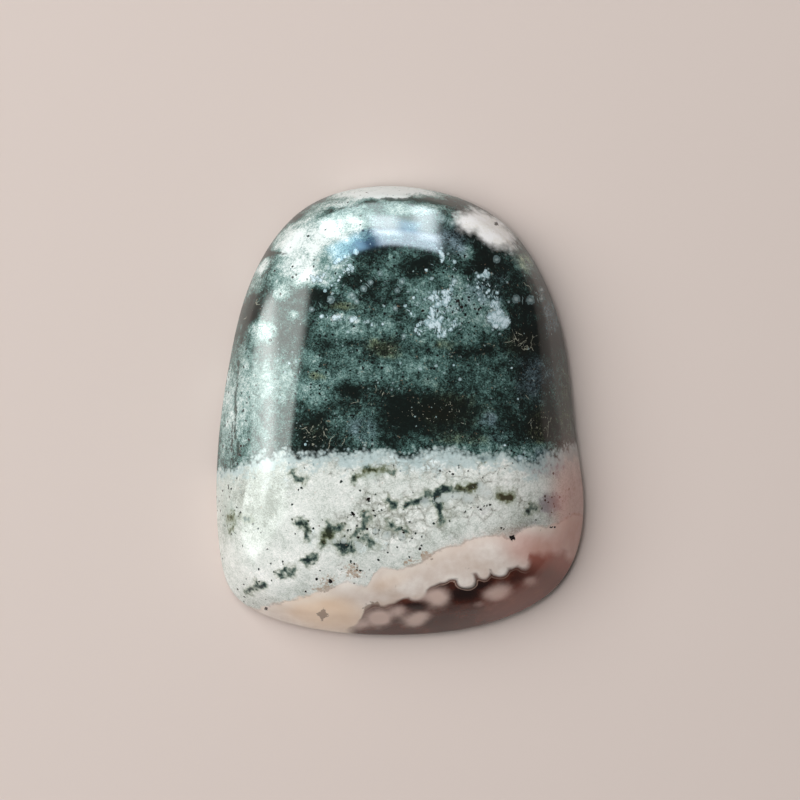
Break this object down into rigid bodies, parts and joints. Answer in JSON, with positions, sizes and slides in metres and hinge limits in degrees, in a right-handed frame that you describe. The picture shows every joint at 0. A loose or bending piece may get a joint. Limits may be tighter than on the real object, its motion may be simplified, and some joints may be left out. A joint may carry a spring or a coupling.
{
  "type": "moss agate cabochon",
  "caption": "Polished moss agate cabochon: a low domed stone with a rounded narrow end, a broad foot, a sloping side and a flat back that seats in a bezel or is glued down.",
  "frame": {"origin": "under the middle of the stone, on the plane of its flat back", "axes": "+Z out of the back through the dome, +Y along the stone's length towards its narrow rounded end, +X across it"},
  "size_m": [0.0204, 0.025, 0.0059],
  "materials": {
    "moss_agate": "polished"
  },
  "bodies": {
    "root": {"cabochon": "moss_agate"}
  },
  "joints": []
}
